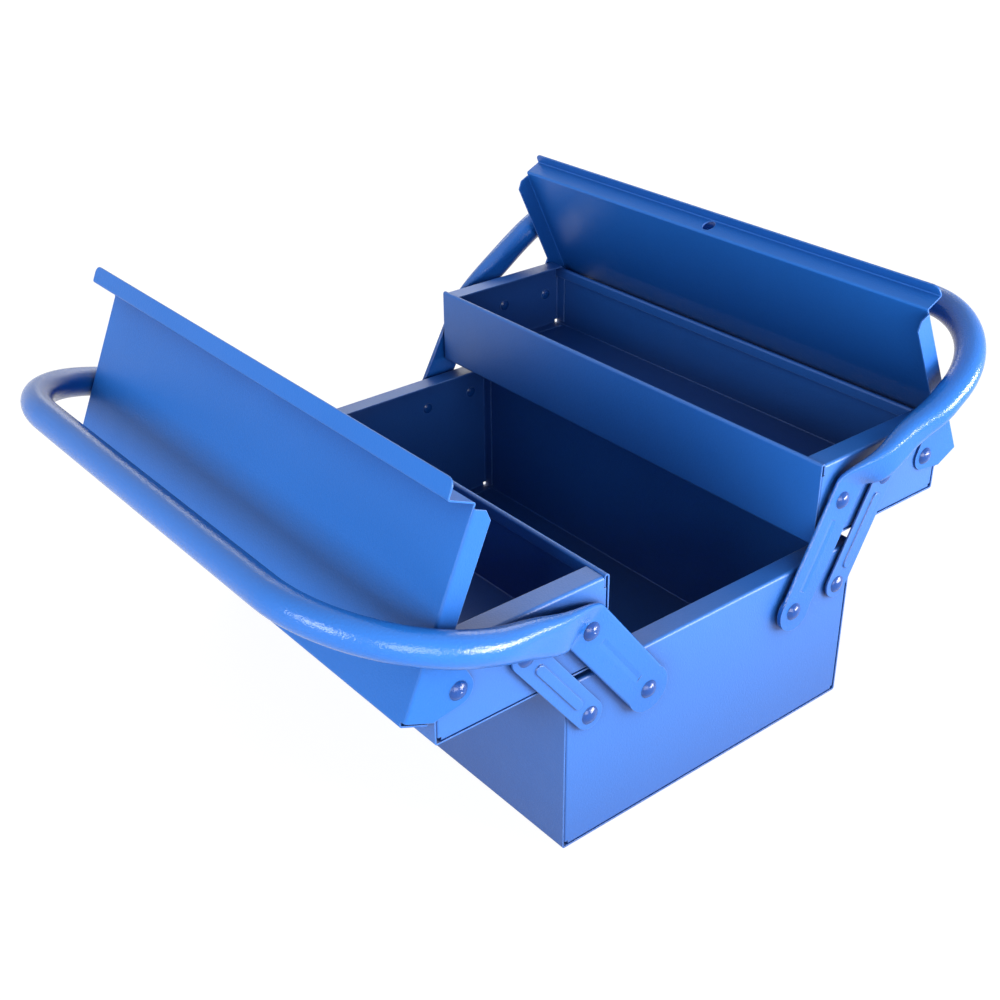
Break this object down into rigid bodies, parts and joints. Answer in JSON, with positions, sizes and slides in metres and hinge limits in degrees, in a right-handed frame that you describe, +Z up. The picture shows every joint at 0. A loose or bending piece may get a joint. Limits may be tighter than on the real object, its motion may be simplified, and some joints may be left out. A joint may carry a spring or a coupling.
{
  "type": "cantilever tool box",
  "caption": "Portable sheet-steel tool box: two cantilever trays on parallel arms, two hinged lids with padlock holes, and wide tube handles that swing the trays open.",
  "frame": {"origin": "middle of the main box's underside", "axes": "+X along the box to its front end, +Y to the right tray, +Z up"},
  "size_m": [0.353, 0.4287, 0.2268],
  "materials": {
    "sheet_enamel": "glossy blue enamel with a fine orange-peel texture",
    "lid_enamel": "glossy blue enamel with a fine orange-peel texture",
    "handle_enamel": "glossy blue enamel on steel tube",
    "link_enamel": "glossy blue enamel on pressed strip",
    "rivet_enamel": "glossy blue enamel on steel rivets",
    "spacer_steel": "satin blue enamel"
  },
  "bodies": {
    "main_box": {"main_body": "sheet_enamel", "main_end_front": "sheet_enamel", "main_end_back": "sheet_enamel", "main_handle_rivets": "rivet_enamel", "main_link_rivets": "rivet_enamel", "main_handle_spacers": "spacer_steel", "main_link_spacers": "spacer_steel"},
    "left_handle": {"left_handle": "handle_enamel"},
    "left_links": {"left_link_front": "link_enamel", "left_link_back": "link_enamel"},
    "left_tray": {"left_tray_body": "sheet_enamel", "left_tray_end_front": "sheet_enamel", "left_tray_end_back": "sheet_enamel", "left_tray_handle_rivets": "rivet_enamel", "left_tray_link_rivets": "rivet_enamel", "left_tray_handle_spacers": "spacer_steel", "left_tray_link_spacers": "spacer_steel", "left_lid_rivets": "rivet_enamel"},
    "left_lid": {"left_lid": "lid_enamel"},
    "right_handle": {"right_handle": "handle_enamel"},
    "right_links": {"right_link_front": "link_enamel", "right_link_back": "link_enamel"},
    "right_tray": {"right_tray_body": "sheet_enamel", "right_tray_end_front": "sheet_enamel", "right_tray_end_back": "sheet_enamel", "right_tray_handle_rivets": "rivet_enamel", "right_tray_link_rivets": "rivet_enamel", "right_tray_handle_spacers": "spacer_steel", "right_tray_link_spacers": "spacer_steel", "right_lid_rivets": "rivet_enamel"},
    "right_lid": {"right_lid": "lid_enamel"}
  },
  "joints": [
    {"name": "left_handle_swing", "type": "hinge", "parent": "main_box", "child": "left_handle", "pos_m": [0, -0.0515, 0.0746], "axis": [-1, 0, 0], "range_deg": [0, 72.5]},
    {"name": "left_tray_level", "type": "hinge", "parent": "left_handle", "child": "left_tray", "pos_m": [0, -0.08936, 0.12395], "axis": [-1, 0, 0], "range_deg": [-72.5, 0]},
    {"name": "left_link_swing", "type": "hinge", "parent": "main_box", "child": "left_links", "pos_m": [0, -0.0875, 0.0758], "axis": [-1, 0, 0], "range_deg": [0, 72.5]},
    {"name": "left_lid_hinge", "type": "hinge", "parent": "left_tray", "child": "left_lid", "pos_m": [0, -0.16117, 0.12395], "axis": [1, 0, 0], "range_deg": [-66.6, 0]},
    {"name": "right_handle_swing", "type": "hinge", "parent": "main_box", "child": "right_handle", "pos_m": [0, 0.0515, 0.0746], "axis": [1, 0, 0], "range_deg": [-8.9, 62.6]},
    {"name": "right_tray_level", "type": "hinge", "parent": "right_handle", "child": "right_tray", "pos_m": [0, 0.08128, 0.12921], "axis": [1, 0, 0], "range_deg": [-62.6, 8.9]},
    {"name": "right_link_swing", "type": "hinge", "parent": "main_box", "child": "right_links", "pos_m": [0, 0.0875, 0.0758], "axis": [1, 0, 0], "range_deg": [-8.9, 62.6]},
    {"name": "right_lid_hinge", "type": "hinge", "parent": "right_tray", "child": "right_lid", "pos_m": [0, 0.15307, 0.12921], "axis": [-1, 0, 0], "range_deg": [-64.5, 9.17]}
  ],
  "couplings": [
    {"joint": "left_tray_level", "follows": "left_handle_swing", "ratio": -1},
    {"joint": "left_link_swing", "follows": "left_handle_swing", "ratio": 1},
    {"joint": "left_lid_hinge", "follows": "left_handle_swing", "ratio": -0.91862},
    {"joint": "right_tray_level", "follows": "right_handle_swing", "ratio": -1},
    {"joint": "right_link_swing", "follows": "right_handle_swing", "ratio": 1},
    {"joint": "right_lid_hinge", "follows": "right_handle_swing", "ratio": -1.0304}
  ]
}
